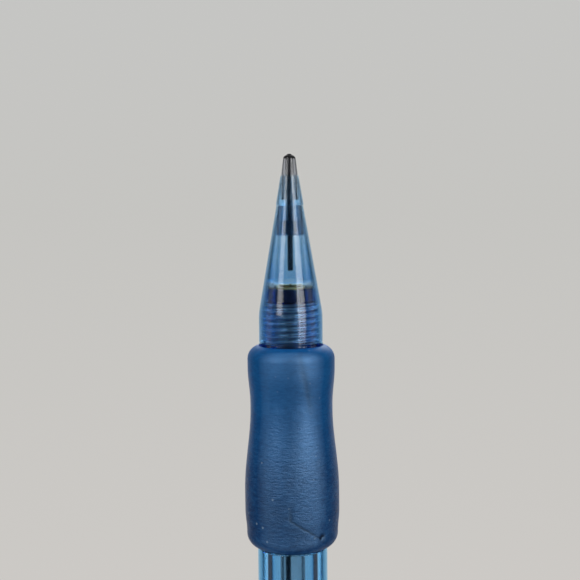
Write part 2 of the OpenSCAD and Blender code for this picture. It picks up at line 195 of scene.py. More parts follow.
def make_object(name, verts, faces, material, smooth_angle=40):
    """A mesh object from millimetre vertices, with outward normals and smooth shading."""
    mesh = bpy.data.meshes.new(name)
    mesh.from_pydata([(x * MM, y * MM, z * MM) for x, y, z in verts], [], faces)
    mesh.materials.append(material)
    work = bmesh.new()
    work.from_mesh(mesh)
    bmesh.ops.recalc_face_normals(work, faces=work.faces)
    limit = math.radians(smooth_angle)
    for face in work.faces:
        face.smooth = True
    for edge in work.edges:
        if len(edge.link_faces) == 2 and edge.calc_face_angle(0) > limit:
            edge.smooth = False
    work.to_mesh(mesh)
    work.free()
    obj = bpy.data.objects.new(name, mesh)
    bpy.context.scene.collection.objects.link(obj)
    return obj


def thread_shift(z, low, high):
    """How far a thread's round section is carried off the axis at height z, along x and y."""
    strength = max(0.0, min(1.0, (high - z) / THREAD_FADE, (z - low) / THREAD_FADE))
    turn = 2 * math.pi * (z - tip_top) / THREAD_PITCH
    return THREAD_THROW * strength * math.cos(turn), THREAD_THROW * strength * math.sin(turn)


def lathe(name, section, material, segments=RING, thread=None, closed=True, warp=None):
    """Turns a section round the axis.

    thread is (lowest, highest, radius) of a stretch that is a screw thread. closed joins the last
    point to the first, for a hollow piece. warp(radius, height, angle) moves single points.
    """
    verts, rings = [], []
    for r, z in section:
        if r < 1e-6:
            rings.append([len(verts)])
            verts.append((0, 0, z))
            continue
        dx = dy = 0.0
        if thread and thread[0] <= z <= thread[1] and abs(r - thread[2]) <= 0.01:
            dx, dy = thread_shift(z, thread[0], thread[1])
        ring = []
        for k in range(segments):
            a = 2 * math.pi * k / segments
            rr, zz = warp(r, z, a) if warp else (r, z)
            ring.append(len(verts))
            verts.append((dx + rr * math.cos(a), dy + rr * math.sin(a), zz))
        rings.append(ring)
    pairs = list(zip(rings, rings[1:]))
    if closed and len(rings[0]) > 1 and len(rings[-1]) > 1:
        pairs.append((rings[-1], rings[0]))
    faces = []
    for low, high in pairs:
        if len(low) == 1 and len(high) == 1:
            continue
        for k in range(segments):
            n = (k + 1) % segments
            if len(low) == 1:
                faces.append((low[0], high[n], high[k]))
            elif len(high) == 1:
                faces.append((low[k], low[n], high[0]))
            else:
                faces.append((low[k], low[n], high[n], high[k]))
    return make_object(name, verts, faces, material)


def face_places(obj):
    """Each face of a piece with the radius and height of its middle."""
    for face in obj.data.polygons:
        middle = face.center / MM
        yield face, math.hypot(middle.x, middle.y), middle.z


def paint(obj, material, chosen):
    """Gives the faces that pass chosen(radius, height) a second material."""
    obj.data.materials.append(material)
    index = len(obj.data.materials) - 1
    for face, r, z in face_places(obj):
        if chosen(r, z):
            face.material_index = index


def mark(obj, *choices):
    """Marks faces for the zone of their material: each choice is (strength, chosen(radius, height))."""
    zone = obj.data.attributes.new("zone", "FLOAT", "FACE")
    for face, r, z in face_places(obj):
        for strength, chosen in choices:
            if chosen(r, z):
                zone.data[face.index].value = strength


def place(obj, body, slot, *nodes):
    """Puts a visual piece on its CAD body, in place of these CAD nodes."""
    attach(obj, body)
    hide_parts(*nodes)
    return obj


# ---------------------------------------------------------------- material helpers

# the part of a noise texture's range that is used
GRAIN_LOW = 0.3
GRAIN_HIGH = 0.7
FINE_RELIEF = 0.02 * MM


def new_material(name):
    mat = bpy.data.materials.new(name)
    mat.use_nodes = True
    mat.node_tree.nodes.clear()
    return mat, mat.node_tree.nodes, mat.node_tree.links


def feed(links, socket, value):
    """Gives a socket a number, a colour or another node's output."""
    if isinstance(value, tuple):
        socket.default_value = (*value, 1)
    elif isinstance(value, (int, float)):
        socket.default_value = value
    else:
        links.new(value, socket)


def coords(nodes, links, scale=(1, 1, 1)):
    """Object coordinates in metres, scaled per axis."""
    where = nodes.new("ShaderNodeTexCoord")
    mapping = nodes.new("ShaderNodeMapping")
    mapping.inputs["Scale"].default_value = scale
    links.new(where.outputs["Object"], mapping.inputs["Vector"])
    return mapping.outputs["Vector"]


def noise_value(nodes, links, vector, scale, detail=3.0, rough=0.5):
    tex = nodes.new("ShaderNodeTexNoise")
    tex.inputs["Scale"].default_value = scale
    tex.inputs["Detail"].default_value = detail
    tex.inputs["Roughness"].default_value = rough
    links.new(vector, tex.inputs["Vector"])
    return tex.outputs["Fac"]


def map_range(nodes, links, value, low, high, out_low, out_high, smooth=False):
    node = nodes.new("ShaderNodeMapRange")
    if smooth:
        node.interpolation_type = "SMOOTHSTEP"
    for key, number in (("From Min", low), ("From Max", high), ("To Min", out_low), ("To Max", out_high)):
        node.inputs[key].default_value = number
    links.new(value, node.inputs["Value"])
    return node.outputs["Result"]


def ramp(nodes, links, value, stops):
    node = nodes.new("ShaderNodeValToRGB")
    band = node.color_ramp
    while len(band.elements) < len(stops):
        band.elements.new(0.5)
    for element, (position, color) in zip(band.elements, stops):
        element.position = position
        element.color = (*color, 1)
    links.new(value, node.inputs["Fac"])
    return node.outputs["Color"]


def bump(nodes, links, height, strength, distance=FINE_RELIEF):
    node = nodes.new("ShaderNodeBump")
    node.inputs["Strength"].default_value = strength
    node.inputs["Distance"].default_value = distance
    links.new(height, node.inputs["Height"])
    return node.outputs["Normal"]


def math_node(nodes, links, operation, a, b):
    node = nodes.new("ShaderNodeMath")
    node.operation = operation
    feed(links, node.inputs[0], a)
    feed(links, node.inputs[1], b)
    return node.outputs[0]


def mix_color(nodes, links, factor, a, b):
    """Colour a where the factor is 0, b where it is 1."""
    node = nodes.new("ShaderNodeMixRGB")
    feed(links, node.inputs["Fac"], factor)
    feed(links, node.inputs["Color1"], a)
    feed(links, node.inputs["Color2"], b)
    return node.outputs[0]


def mix_shader(nodes, links, factor, a, b):
    """Shader a where the factor is 0, b where it is 1."""
    node = nodes.new("ShaderNodeMixShader")
    links.new(factor, node.inputs["Fac"])
    links.new(a, node.inputs[1])
    links.new(b, node.inputs[2])
    return node.outputs[0]


def principled(nodes, **values):
    """Principled surface. Underscores in the names of its inputs stand for spaces."""
    node = nodes.new("ShaderNodeBsdfPrincipled")
    for key, value in values.items():
        node.inputs[key.replace("_", " ")].default_value = value
    return node


def transparent(nodes, color=(1, 1, 1)):
    node = nodes.new("ShaderNodeBsdfTransparent")
    node.inputs["Color"].default_value = (*color, 1)
    return node.outputs[0]


def attribute(nodes, name):
    node = nodes.new("ShaderNodeAttribute")
    node.attribute_name = name
    return node.outputs["Fac"]


def facing(nodes):
    """0 where the surface faces the viewer, towards 1 at a glancing angle."""
    node = nodes.new("ShaderNodeLayerWeight")
    node.inputs["Blend"].default_value = 0.5
    return node.outputs["Facing"]


def height_of(nodes, links, vector):
    split = nodes.new("ShaderNodeSeparateXYZ")
    links.new(vector, split.inputs[0])
    return split.outputs["Z"]


def finish_material(nodes, links, shader, volume=None):
    out = nodes.new("ShaderNodeOutputMaterial")
    links.new(shader, out.inputs["Surface"])
    if volume is not None:
        links.new(volume, out.inputs["Volume"])


def grained(nodes, links, body, grain, dark, light, roughness, relief):
    """Colour, roughness and relief that all follow one grain."""
    color = ramp(nodes, links, grain, [(GRAIN_LOW, dark), (GRAIN_HIGH, light)])
    links.new(color, body.inputs["Base Color"])
    links.new(map_range(nodes, links, grain, GRAIN_LOW, GRAIN_HIGH, *roughness), body.inputs["Roughness"])
    links.new(bump(nodes, links, grain, relief), body.inputs["Normal"])


# ---------------------------------------------------------------- materials

def clear_plastic(name, tint, absorb, shadow_tint, roughness=0.02, soft_edge=(0.6, 0.85, 0.8),
                  zone_shade_tint=(1, 1, 1), zone_roughness=0.0, zone_soft=0.0):
    """Clear moulded plastic: faint flow marks, tint by depth, and shadows that let light in.

    absorb is how fast red, green and blue fade, per metre. soft_edge is where a glancing view starts
    and ends to look straight through, and how much. Faces that mark() chose take the zone values:
    they are tinted towards a darker painted shade, the more than half marked ones are roughened,
    and on the partly marked ones the soft edge starts earlier.
    """
    mat, nodes, links = new_material(name)
    flow = noise_value(nodes, links, coords(nodes, links, (1, 1, 0.35)), 900, 2.0)
    zone = attribute(nodes, "zone")
    body = principled(nodes, Roughness=roughness, IOR=1.49, Transmission_Weight=1.0)
    lighter = tuple(min(1, c * 1.03) for c in tint)
    tone = ramp(nodes, links, flow, [(0.35, tint), (0.65, lighter)])
    # painted shade: marked threads, bore steps and bores are tinted darker, standing in for the dark seen
    # through them
    links.new(mix_color(nodes, links, zone, tone, zone_shade_tint), body.inputs["Base Color"])
    plain = map_range(nodes, links, flow, GRAIN_LOW, GRAIN_HIGH, roughness, roughness + 0.03)
    added = map_range(nodes, links, zone, 0.5, 1.0, 0.0, zone_roughness)
    links.new(math_node(nodes, links, "ADD", plain, added), body.inputs["Roughness"])
    links.new(bump(nodes, links, flow, 0.08), body.inputs["Normal"])
    shadow = nodes.new("ShaderNodeLightPath").outputs["Is Shadow Ray"]
    surface = mix_shader(nodes, links, shadow, body.outputs[0], transparent(nodes, shadow_tint))
    edge_start, edge_end, edge_share = soft_edge
    partly = math_node(nodes, links, "PINGPONG", zone, 0.5)
    earlier = math_node(nodes, links, "MULTIPLY", partly, zone_soft)
    glance = math_node(nodes, links, "ADD", facing(nodes), earlier)
    softness = map_range(nodes, links, glance, edge_start, edge_end, 0.0, edge_share)
    surface = mix_shader(nodes, links, softness, surface, transparent(nodes, tint))
    volume = nodes.new("ShaderNodeVolumeAbsorption")
    strongest = max(absorb)
    volume.inputs["Density"].default_value = strongest
    volume.inputs["Color"].default_value = (*(1 - a / strongest for a in absorb), 1)
    finish_material(nodes, links, surface, volume.outputs[0])
    return mat


def metal(name, color, roughness, streak_scale):
    """Turned or drawn metal with fine streaks round the axis."""
    mat, nodes, links = new_material(name)
    streaks = noise_value(nodes, links, coords(nodes, links, (1, 1, streak_scale)), 1500, 4.0, 0.6)
    body = principled(nodes, Metallic=1.0)
    darker = tuple(c * 0.7 for c in color)
    grained(nodes, links, body, streaks, darker, color, (roughness, roughness + 0.15), 0.1)
    finish_material(nodes, links, body.outputs[0])
    return mat


def solid_plastic(name, color, roughness, subsurface=0.0, vary=0.12):
    """Opaque or milky moulded plastic with a faint grain."""
    mat, nodes, links = new_material(name)
    grain = noise_value(nodes, links, coords(nodes, links), 1200)
    body = principled(nodes)
    darker = tuple(c * (1 - vary) for c in color)
    grained(nodes, links, body, grain, darker, color, (roughness, roughness + 0.1), 0.08)
    if subsurface > 0:
        body.inputs["Subsurface Weight"].default_value = subsurface
        body.inputs["Subsurface Radius"].default_value = (1.0 * MM, 1.0 * MM, 1.2 * MM)
        body.inputs["Subsurface Scale"].default_value = 1.0
    finish_material(nodes, links, body.outputs[0])
    return mat


def dust_amount(nodes, links, vector, rearward):
    """Small pale specks in loose patches, more of them towards the rear."""
    specks = nodes.new("ShaderNodeTexVoronoi")
    specks.inputs["Scale"].default_value = 720
    links.new(vector, specks.inputs["Vector"])
    dust = map_range(nodes, links, specks.outputs["Distance"], 0.07, 0.13, 1.0, 0.0)
    dust = math_node(nodes, links, "MULTIPLY", dust, map_range(nodes, links, rearward, 0.0, 1.0, 0.25, 1.0))
    patches = noise_value(nodes, links, vector, 300, 1.0)
    return math_node(nodes, links, "MULTIPLY", dust, map_range(nodes, links, patches, 0.50, 0.58, 0.0, 0.8))


def grip_rubber(name):
    """Satin, slightly see-through rubber: cross wrinkles towards its rear, dust, painted shade in the
    creases and at the rear rim, and painted light that makes the front lighter than the rear.
    """
    mat, nodes, links = new_material(name)
    plain = coords(nodes, links)
    wrinkles = noise_value(nodes, links, coords(nodes, links, (1.3, 1.3, 4)), 850, 6.0, 0.7)
    clouds = noise_value(nodes, links, plain, 170)
    height = height_of(nodes, links, plain)
    middle_z = (grip_low + grip_top) / 2
    rearward = map_range(nodes, links, height, (middle_z + 6) * MM, (middle_z - 4) * MM, 0.0, 1.0)
    tone = math_node(nodes, links, "ADD", math_node(nodes, links, "MULTIPLY", wrinkles, 0.6),
                     math_node(nodes, links, "MULTIPLY", clouds, 0.4))
    # painted light: the front part is coloured lighter, standing in for light shining through the thinner
    # rubber there, and the rear part is darker
    lit_front_color = ramp(nodes, links, tone, [
        (0.38, (0.006, 0.105, 0.34)), (0.5, (0.008, 0.135, 0.42)), (0.62, (0.012, 0.165, 0.48))])
    shaded_rear_color = ramp(nodes, links, tone, [
        (0.38, (0.004, 0.046, 0.165)), (0.5, (0.008, 0.075, 0.25)), (0.62, (0.028, 0.135, 0.37))])
    color = mix_color(nodes, links, rearward, lit_front_color, shaded_rear_color)
    dust = dust_amount(nodes, links, plain, rearward)
    color = mix_color(nodes, links, dust, color, (0.36, 0.52, 0.70))
    # painted shade: the creases and the rear rim are darkened towards a near-black blue
    color = mix_color(nodes, links, attribute(nodes, "crease_and_rim_shade"), color, (0.002, 0.016, 0.055))
    body = principled(nodes, IOR=1.7)
    links.new(color, body.inputs["Base Color"])
    satin = map_range(nodes, links, wrinkles, GRAIN_LOW, GRAIN_HIGH, 0.34, 0.46)
    front_haze = map_range(nodes, links, height, (grip_top - 5) * MM, (grip_top - 1) * MM, 0.0, 0.12)
    links.new(math_node(nodes, links, "ADD", satin, front_haze), body.inputs["Roughness"])
    relief = math_node(nodes, links, "MULTIPLY", wrinkles,
                       map_range(nodes, links, rearward, 0.0, 1.0, 0.25, 1.0))
    links.new(bump(nodes, links, relief, 0.85, 0.14 * MM), body.inputs["Normal"])
    # light that goes a little way into the rubber comes back blue, and least at a glancing angle
    body.inputs["Specular Tint"].default_value = (0.34, 0.62, 1.0, 1)
    links.new(map_range(nodes, links, facing(nodes), 0.2, 0.36, 1.0, 0.1), body.inputs["Specular IOR Level"])
    finish_material(nodes, links, body.outputs[0])
    return mat


def graphite(name):
    """Grey-black stick with a fine grain along its length."""
    mat, nodes, links = new_material(name)
    grain = noise_value(nodes, links, coords(nodes, links, (1, 1, 0.3)), 3000, 4.0)
    body = principled(nodes, Metallic=0.35)
    grained(nodes, links, body, grain, (0.005, 0.005, 0.006), (0.02, 0.02, 0.022), (0.32, 0.5), 0.3)
    finish_material(nodes, links, body.outputs[0])
    return mat


def graphite_smear(name):
    """Graphite dust rubbed over clear plastic."""
    mat, nodes, links = new_material(name)
    grain = noise_value(nodes, links, coords(nodes, links, (1, 1, 0.25)), 1800, 5.0, 0.6)
    body = principled(nodes, IOR=1.3)
    grained(nodes, links, body, grain, (0.004, 0.004, 0.005), (0.02, 0.02, 0.024), (0.45, 0.7), 0.4)
    finish_material(nodes, links, body.outputs[0])
    return mat


BLUE_SHADOW = (0.6, 0.8, 0.95)
GREY_SHADOW = (0.6, 0.62, 0.65)

MATERIALS = {
    "graphite_smear": graphite_smear("graphite_smear"),
    "graphite": graphite("graphite"),
    "smoke_clear": clear_plastic("smoke_clear", (0.72, 0.73, 0.75), (420, 400, 360), GREY_SHADOW,
                                 roughness=0.2, soft_edge=(0.3, 0.6, 0.7)),
    "cone_clear": clear_plastic("cone_clear", (0.86, 0.91, 0.95), (460, 235, 95), BLUE_SHADOW,
                                roughness=0.10, soft_edge=(0.28, 0.56, 0.80),
                                zone_shade_tint=(0.07, 0.20, 0.30), zone_roughness=0.25, zone_soft=0.8),
    "blue_clear": clear_plastic("blue_clear", (0.86, 0.94, 0.99), (330, 123, 16), BLUE_SHADOW,
                                soft_edge=(0.42, 0.58, 0.90),
                                zone_shade_tint=(0.08, 0.22, 0.38), zone_roughness=0.28),
    "black_rubber": solid_plastic("black_rubber", (0.02, 0.02, 0.022), 0.6),
    "brass": metal("brass", (0.5, 0.33, 0.13), 0.34, 8),
    "navy_clear": clear_plastic("navy_clear", (0.30, 0.48, 0.84), (1500, 870, 240), (0.3, 0.4, 0.7),
                                roughness=0.06),
    "spring_steel": metal("spring_steel", (0.6, 0.61, 0.63), 0.2, 1),
    "milky_plastic": solid_plastic("milky_plastic", (0.72, 0.77, 0.82), 0.3, subsurface=0.3, vary=0.05),
    "tube_clear": clear_plastic("tube_clear", (0.98, 0.92, 0.90), (60, 150, 190), (0.7, 0.72, 0.74),
                                roughness=0.18),
    "grip_rubber": grip_rubber("grip_rubber"),
    "navy_gloss": solid_plastic("navy_gloss", (0.012, 0.045, 0.17), 0.16),
    "ferrule_metal": metal("ferrule_metal", (0.75, 0.76, 0.78), 0.25, 6),
    "eraser_white": solid_plastic("eraser_white", (0.82, 0.81, 0.78), 0.7, subsurface=0.2, vary=0.08),
}


# ---------------------------------------------------------------- front end

def build_lead():
    """The lead in use, with a worn, domed point."""
    edge, dome_height, flat_r = 0.03, 0.26, 0.08
    section = [(0, lead_low), (LEAD_R - edge, lead_low), (LEAD_R, lead_low + edge)]
    section += arc(0, tip_top - dome_height, LEAD_R, dome_height, 0, 72, 8)
    section += [(flat_r, tip_top - 0.01), (0, tip_top)]
    obj = lathe("lead_stick", section, MATERIALS["graphite"], 48)
    return place(obj, "lead", "graphite", "lead")


def build_tip_sleeve():
    """Smoky clear sleeve with a round front edge that is black with graphite."""
    seat = sleeve_top - 2.65
    bore, rear_r, front_r, edge_r = LEAD_R + 0.03, 1.07, 0.83, 0.6
    dusty = sleeve_top - 0.48
    dome = arc(front_r - edge_r, sleeve_top - edge_r, edge_r, edge_r, 5, 75, 10)
    shank = rounded([
        (bore, sleeve_low), (SLEEVE_SHANK_R, sleeve_low, 0.04), (SLEEVE_SHANK_R, seat),
        (rear_r, seat, 0.04), dome[0]])
    section = shank + dome[1:] + [(bore, sleeve_top)]
    obj = lathe("tip_sleeve_clear", section, MATERIALS["smoke_clear"], SMALL_RING)
    paint(obj, MATERIALS["graphite_smear"], lambda r, z: z > dusty)
    return place(obj, "nose", "smoke_clear", "tip_sleeve")


def build_nose_tip():
    """Clear front piece: a short cone with a rim at the seam, and a stem in the main cone."""
    seam = cone_top + PUSH_GAP
    sleeve_seat = sleeve_low - PUSH_GAP
    pocket_end = retainer_top + PUSH_GAP
    rim_r, rim_height, front_r = 1.8, 0.12, 1.18
    sleeve_bore, lead_bore, pocket_r = SLEEVE_SHANK_R + PUSH_GAP, 0.4, RETAINER_R + PUSH_GAP
    section = rounded([
        (STEM_R, nose_tip_low, 0.08), (STEM_R, seam, 0.04), (rim_r, seam, 0.05),
        (rim_r, seam + rim_height, 0.06), (front_r, nose_tip_top, 0.06),
        (sleeve_bore, nose_tip_top, 0.02), (sleeve_bore, sleeve_seat), (lead_bore, sleeve_seat),
        (lead_bore, pocket_end), (pocket_r, pocket_end), (pocket_r, nose_tip_low, 0.03)])
    obj = lathe("nose_tip_clear", section, MATERIALS["cone_clear"])
    return place(obj, "nose", "blue_clear", "nose_tip")


def build_retainer():
    """Small rubber ring that holds the lead by friction."""
    bore = 0.36
    section = tube_section(RETAINER_R, bore, retainer_low, retainer_top, 0.12, 0.04)
    obj = lathe("lead_retainer_ring", section, MATERIALS["black_rubber"], 64)
    return place(obj, "retainer", "black_rubber", "lead_retainer")


def build_cone():
    """Clear cone: a bore for the stem, a wider one, room for the clutch, and a threaded skirt."""
    step = cone_top - 6.29
    shoulder = cone_top - 9.94
    thread_top = cone_top - 12.64
    bend = cone_top - 13.9
    rear_r, front_r = node_radius("nose_cone"), 1.74
    stem_bore, wide_bore, clutch_bore = STEM_R + PUSH_GAP, 1.62, 2.7
    thread_r = THREAD_R + THREAD_GAP
    wall = rounded([
        (thread_r + 0.4, cone_low), (rear_r, cone_low, 0.14), (rear_r, bend, 9.0),
        (front_r, cone_top, 0.05), (stem_bore, cone_top, 0.03), (stem_bore, step, 0.02),
        (wide_bore, step, 0.02), (wide_bore, shoulder, 0.03), (clutch_bore, shoulder, 0.03),
        (clutch_bore, thread_top + 0.02)])
    section = wall + thread_rows(thread_top, cone_low, thread_r)
    obj = lathe("nose_cone_clear", section, MATERIALS["cone_clear"],
                thread=(cone_low, thread_top, thread_r))

    def in_bore(r, z):
        bore = stem_bore if z > step else wide_bore if z > shoulder else clutch_bore
        return z > thread_top and r < bore + 0.02

    def on_step(r, z):
        return r < clutch_bore and min(abs(z - step), abs(z - shoulder)) < 0.01

    def on_thread(r, z):
        return z < thread_top and r < thread_r + THREAD_THROW + 0.05

    # the marked bores, steps and thread take the material's darker painted shade tint
    mark(obj, (CONE_BORE_ZONE, in_bore), (THREAD_ZONE, on_step), (THREAD_ZONE, on_thread))
    return place(obj, "nose", "blue_clear", "nose_cone")


# ---------------------------------------------------------------- clutch and lead tube

def build_ring():
    """Brass ring that closes the jaws, with a tapered seat for their heads."""
    ring_r, seat_r, bore_r = 1.95, 1.47, 1.21
    section = rounded([
        (ring_r, ring_low, 0.08), (ring_r, ring_top, 0.12), (seat_r, ring_top, 0.04),
        (bore_r, ring_top - 1.3), (bore_r, ring_low, 0.04)])
    obj = lathe("clutch_ring_turned", section, MATERIALS["brass"], SMALL_RING)
    return place(obj, "clutch_ring", "brass", "clutch_ring")


def build_clutch_sleeve():
    """Flanged sleeve in the barrel's nose: ring pocket in front, chuck guide, spring pocket behind."""
    flange = clutch_top - 1.8
    ring_seat = ring_low - 0.05
    guide_low = clutch_top - 5.9
    flange_r, ring_pocket_r, guide_r, spring_pocket_r = 2.6, 2.0, 1.28, 1.75
    section = rounded([
        (CLUTCH_BODY_R, clutch_low, 0.06), (CLUTCH_BODY_R, flange), (flange_r, flange, 0.04),
        (flange_r, clutch_top, 0.1), (ring_pocket_r, clutch_top, 0.06), (ring_pocket_r, ring_seat),
        (guide_r, ring_seat, 0.05), (guide_r, guide_low, 0.05), (spring_pocket_r, guide_low),
        (spring_pocket_r, clutch_low, 0.05)])
    obj = lathe("clutch_sleeve_moulded", section, MATERIALS["navy_clear"], SMALL_RING)
    return place(obj, "barrel", "navy_clear", "clutch_sleeve")


def build_spring():
    """Compression spring whose first and last turns are closed."""
    coil_r, wire_r = 1.42, 0.16
    sides, steps_per_turn, turns = 10, 36, 11
    closed_rise = 2.1 * wire_r
    low = spring_low + wire_r
    high = spring_top - wire_r
    open_rise = (high - low - 2 * closed_rise) / (turns - 2)

    def height(turn):
        ends = min(turn, 1) + max(0, turn - turns + 1)
        return low + ends * closed_rise + max(0, min(turn - 1, turns - 2)) * open_rise

    verts, faces = [], []
    steps = steps_per_turn * turns
    for i in range(steps + 1):
        turn = i / steps_per_turn
        a = 2 * math.pi * turn
        for j in range(sides):
            w = 2 * math.pi * j / sides
            r = coil_r + wire_r * math.cos(w)
            verts.append((r * math.cos(a), r * math.sin(a), height(turn) + wire_r * math.sin(w)))
    for i in range(steps):
        for j in range(sides):
            k = (j + 1) % sides
            n = i * sides
            faces.append((n + j, n + sides + j, n + sides + k, n + k))
    faces.append(tuple(range(sides)))
    faces.append(tuple(reversed(range(steps * sides, steps * sides + sides))))
    obj = make_object("chuck_spring_coil", verts, faces, MATERIALS["spring_steel"])
    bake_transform(obj)
    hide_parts("chuck_spring")
    return obj


def build_connector():
    """Flanged plug that joins the chuck's shank, in its front pocket, to the lead tube."""
    flange_top = connector_top - 2.5
    flange_low = connector_top - 4.0
    pocket = connector_top - 3.52
    throat = pocket - 1.5
    plug_r, flange_r, collar_r = TUBE_BORE_R - PUSH_GAP, node_radius("tube_connector"), 1.7
    pocket_r, throat_r, funnel_r = 1.17, 0.5, 1.05
    section = rounded([
        (plug_r, connector_low, 0.08), (plug_r, flange_low), (flange_r, flange_low, 0.1),
        (flange_r, flange_top, 0.1), (collar_r, flange_top, 0.1), (collar_r, connector_top, 0.1),
        (pocket_r, connector_top, 0.05), (pocket_r, pocket), (throat_r, pocket), (throat_r, throat),
        (funnel_r, connector_low, 0.03)])
    obj = lathe("tube_connector_moulded", section, MATERIALS["milky_plastic"], SMALL_RING)
    return place(obj, "push_unit", "milky_plastic", "tube_connector")


def build_tube():
    """Clear tube that carries the push from the button and holds the spare leads."""
    section = tube_section(TUBE_R, TUBE_BORE_R, tube_low, tube_top, 0.05, 0.05)
    obj = lathe("lead_tube_clear", section, MATERIALS["tube_clear"], SMALL_RING)
    return place(obj, "push_unit", "tube_clear", "lead_tube")


def build_spare_lead():
    """A spare lead that leans against the wall of the tube."""
    low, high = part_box("spare_lead")
    section = rounded([(0, spare_low), (LEAD_R, spare_low, 0.03), (LEAD_R, spare_top, 0.03), (0, spare_top)])
    obj = lathe("spare_lead_stick", section, MATERIALS["graphite"], 40, closed=False)
    for vertex in obj.data.vertices:
        vertex.co.x += (low[0] + high[0]) / 2
    return place(obj, "push_unit", "graphite", "spare_lead")


# ---------------------------------------------------------------- barrel and grip

def build_barrel():
    """Clear barrel: tail in the rear collar, thick body, grip seat, front collar, threaded nose."""
    collar_front = cone_low - 0.05
    collar_rear = grip_top - 0.2
    shoulder = grip_low - 0.1
    body_rear = rear_collar_top + 0.05
    thread_top = barrel_top - 0.28
    bore_front = barrel_top - 9.18
    pilot_r, nose_bore = 2.45, CLUTCH_BODY_R + PUSH_GAP
    body = rounded([
        (BARREL_BORE_R, barrel_low), (GRIP_SEAT_R, barrel_low, 0.1), (GRIP_SEAT_R, body_rear),
        (BARREL_R, body_rear, 0.12), (BARREL_R, shoulder, 0.12), (GRIP_SEAT_R, shoulder),
        (GRIP_SEAT_R, collar_rear), (COLLAR_R, collar_rear), (COLLAR_R, collar_front, 0.12),
        (THREAD_R + 0.3, collar_front)])
    nose = rounded([
        (pilot_r, thread_top + 0.02), (pilot_r, barrel_top, 0.06), (nose_bore, barrel_top, 0.04),
        (nose_bore, bore_front, 0.1), (BARREL_BORE_R, bore_front, 0.2),
        (BARREL_BORE_R, barrel_low + 0.5)])
    section = body + thread_rows(collar_front, thread_top, THREAD_R) + nose
    obj = lathe("barrel_clear", section, MATERIALS["blue_clear"],
                thread=(collar_front, thread_top, THREAD_R))

    def in_bore(r, z):
        return r < BARREL_BORE_R + 0.02 and z < bore_front

    # the marked nose thread and bore take the material's darker painted shade tint
    mark(obj, (THREAD_ZONE, lambda r, z: z > cone_low), (BARREL_BORE_ZONE, in_bore))
    return place(obj, "barrel", "blue_clear", "barrel")


GRIP_CREASES = (
    # (height up the grip, angle in degrees) at both ends, depth and half width in millimetres
    ((5.5, -101), (2.1, -52), 0.07, 0.12),
    ((2.45, -51.0), (2.15, -49.5), 0.16, 0.34),
    ((25.6, -79), (18.3, -62), 0.03, 0.45),
)
CREASE_SHADE_DEPTH = 0.06  # depth at which the painted shade of a crease is quite dark
UNROLL_R = 6.0  # radius at which the grip is unrolled to measure along it
RIM_SHADE_HEIGHT = 0.5  # how far up the grip's rear rim is shaded


def crease_depth(z, angle):
    """How deep the creases of the grip are at a height and an angle."""
    depth = 0.0
    here = Vector((angle * UNROLL_R, z - grip_low))
    for (start_height, start_angle), (end_height, end_angle), deep, half in GRIP_CREASES:
        start = Vector((math.radians(start_angle) * UNROLL_R, start_height))
        way = Vector((math.radians(end_angle) * UNROLL_R, end_height)) - start
        along = max(0.0, min(1.0, (here - start).dot(way) / way.length_squared))
        gap = (here - start - way * along).length
        taper = math.sin(math.pi * min(1.0, along * 0.9 + 0.08)) ** 0.5
        depth += deep * taper * math.exp(-(gap / half) ** 2)
    return depth


GRIP_LIP_R = 4.22  # where the grip's front face ends, round the barrel's collar


def grip_outline():
    """Outer line of the grip from its rear face over bulge, waist and shoulder to its front lip."""
    shoulder_r, waist_r, bulge_r = 5.69, 5.38, node_radius("grip")
    rear_r = bulge_r - 0.2
    edge = 1.8
    lip_angle = math.degrees(math.acos((GRIP_LIP_R - (shoulder_r - edge)) / edge))
    return (arc(rear_r - edge, grip_low + edge, edge, edge, -90, 0, 14)
            + sway(rear_r, grip_low + edge + 0.1, bulge_r, grip_low + 4.9, 24)[1:]
            + sway(bulge_r, grip_low + 7.5, waist_r, grip_top - 8.3, 80)
            + sway(waist_r, grip_top - 7.7, shoulder_r, grip_top - edge - 1.1, 44)
            + arc(shoulder_r - edge, grip_top - edge, edge, edge, 0, lip_angle, 18))


def build_grip():
    """Soft sleeve with a waist, slightly uneven, with moulding creases, and painted shade in the creases and
    along the rear rim.
    """
    bore = GRIP_SEAT_R + PUSH_GAP
    lip_z = grip_top - 0.3
    section = [(bore, grip_low)] + grip_outline() + [(GRIP_LIP_R, lip_z), (bore, lip_z)]

    def soften(r, z, a):
        if r < GRIP_LIP_R + 0.08:
            return r, z
        angle = a if a <= math.pi else a - 2 * math.pi
        uneven = noise.noise(Vector((math.cos(a) * 1.6, math.sin(a) * 1.6, z * 0.16))) * 0.035
        return r + uneven - crease_depth(z, angle), z

    obj = lathe("grip_sleeve", section, MATERIALS["grip_rubber"], 2 * RING, warp=soften)
    shade = obj.data.attributes.new("crease_and_rim_shade", "FLOAT", "POINT")
    for vertex, value in zip(obj.data.vertices, shade.data):
        x, y, z = vertex.co / MM
        # painted shadow along the rear rim where the grip meets the barrel, plus painted shade in the
        # creases
        rim = 1.6 * max(0.0, 1 - (z - grip_low) / RIM_SHADE_HEIGHT)
        value.value = min(1.0, crease_depth(z, math.atan2(y, x)) / CREASE_SHADE_DEPTH + rim)
    return place(obj, "barrel", "grip_rubber", "grip")


# ---------------------------------------------------------------- rear end

